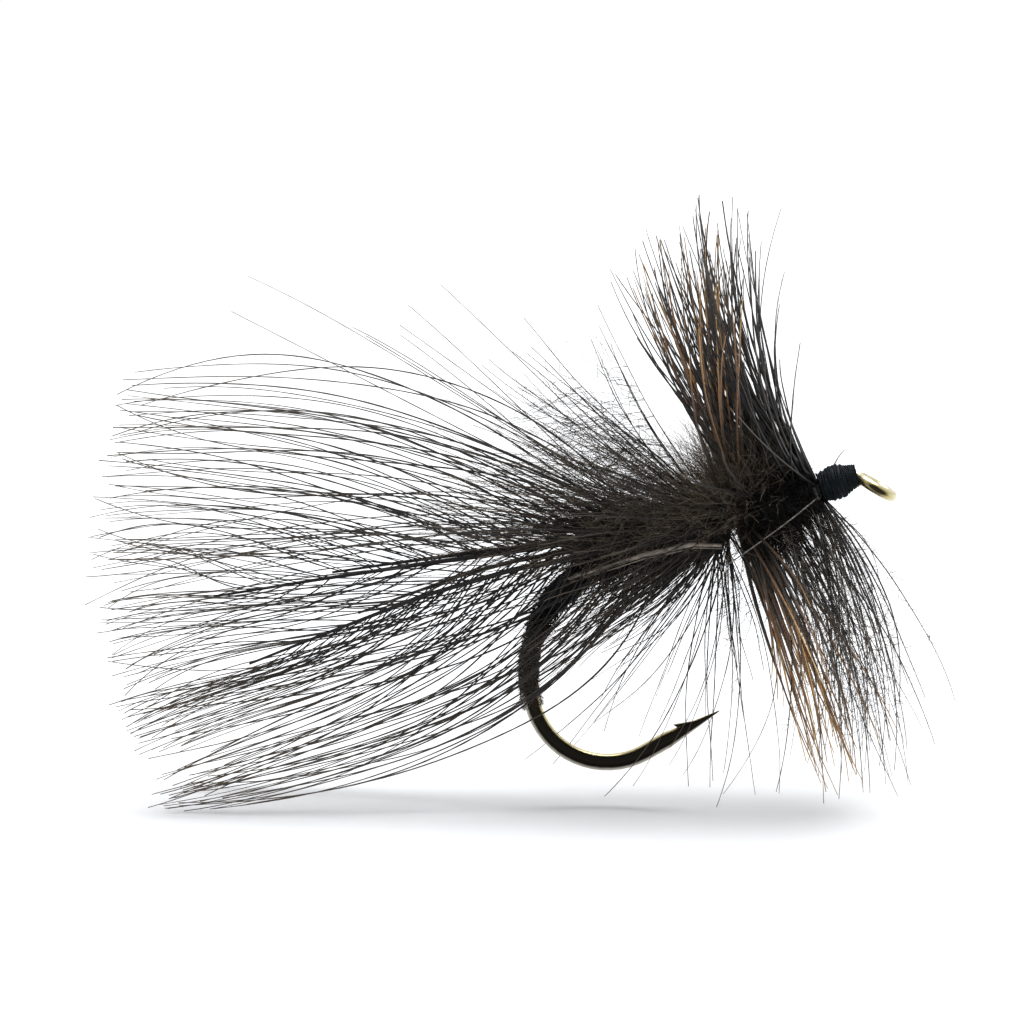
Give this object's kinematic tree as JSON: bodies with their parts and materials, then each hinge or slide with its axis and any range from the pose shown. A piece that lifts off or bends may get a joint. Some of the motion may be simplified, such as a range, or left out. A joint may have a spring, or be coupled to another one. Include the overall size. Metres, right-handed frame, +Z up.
{
  "type": "dry fly",
  "caption": "Artificial fishing fly: a down-eyed hook dressed with wound thread, spun fur, radiating hackle collars and long trailing feathers.",
  "frame": {"origin": "on the surface the fly stands on, under the middle of the whole fly", "axes": "+X along the hook towards its eye, +Z up as the fly stands, +Y to the fly's left"},
  "size_m": [0.0317, 0.0247, 0.0234],
  "materials": {
    "bronzed_wire": "polished",
    "black_thread": "satin",
    "black_fur": "matte",
    "varnish": "gloss",
    "brown_down": "matte",
    "black_feather": "matte",
    "black_quill": "satin",
    "black_hackle": "satin",
    "brown_quill": "satin",
    "brown_hackle": "satin",
    "soft_hackle": "matte",
    "grey_quill": "satin",
    "grey_thread": "satin"
  },
  "bodies": {
    "root": {"hook": "bronzed_wire", "thread_underwrap": "black_thread", "abdomen_dubbing": "black_fur", "thorax_dubbing": "black_fur", "head_wraps": "black_thread", "whip_finish": "black_thread", "head_cement": "varnish", "wing_lashing": "black_thread", "wing_base_down": "brown_down", "right_upper_feather_vane": "black_feather", "right_upper_feather_quill": "black_quill", "right_lower_feather_vane": "black_feather", "right_lower_feather_quill": "black_quill", "left_upper_feather_vane": "black_feather", "left_upper_feather_quill": "black_quill", "left_lower_feather_vane": "black_feather", "left_lower_feather_quill": "black_quill", "black_hackle_quill": "black_quill", "black_hackle_barbs": "black_hackle", "brown_hackle_quill": "brown_quill", "brown_hackle_barbs": "brown_hackle", "rear_hackle_quill": "black_quill", "rear_hackle_barbs": "soft_hackle", "trimmed_quill_butt": "grey_quill", "loose_thread": "grey_thread"}
  },
  "joints": []
}
